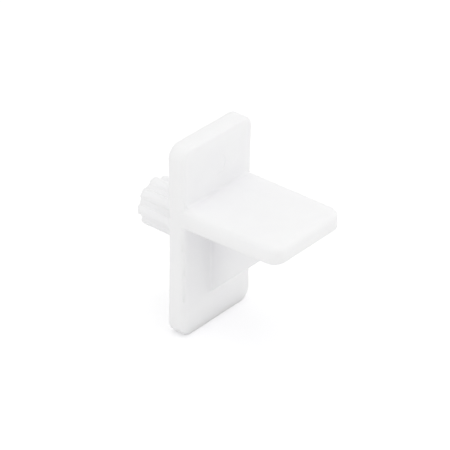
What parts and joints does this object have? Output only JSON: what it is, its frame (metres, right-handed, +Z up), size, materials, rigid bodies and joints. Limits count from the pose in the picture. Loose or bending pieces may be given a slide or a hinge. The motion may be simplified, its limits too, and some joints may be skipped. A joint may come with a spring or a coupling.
{
  "type": "shelf support pin",
  "caption": "One-piece moulded plastic shelf support: a flat back plate with a ribbed peg for a drilled hole behind it and a gusseted tongue in front that carries a shelf.",
  "frame": {"origin": "where the peg's axis meets the plate's back face, which lies against the cabinet side", "axes": "+Y along the peg into the cabinet side, -Y along the tongue into the cabinet, +Z up with the shelf's weight coming down on the tongue, +X along the plate's width"},
  "size_m": [0.0124, 0.0235, 0.0254],
  "materials": {
    "white_plastic": "satin"
  },
  "bodies": {
    "root": {"shelf_support_pin": "white_plastic"}
  },
  "joints": []
}
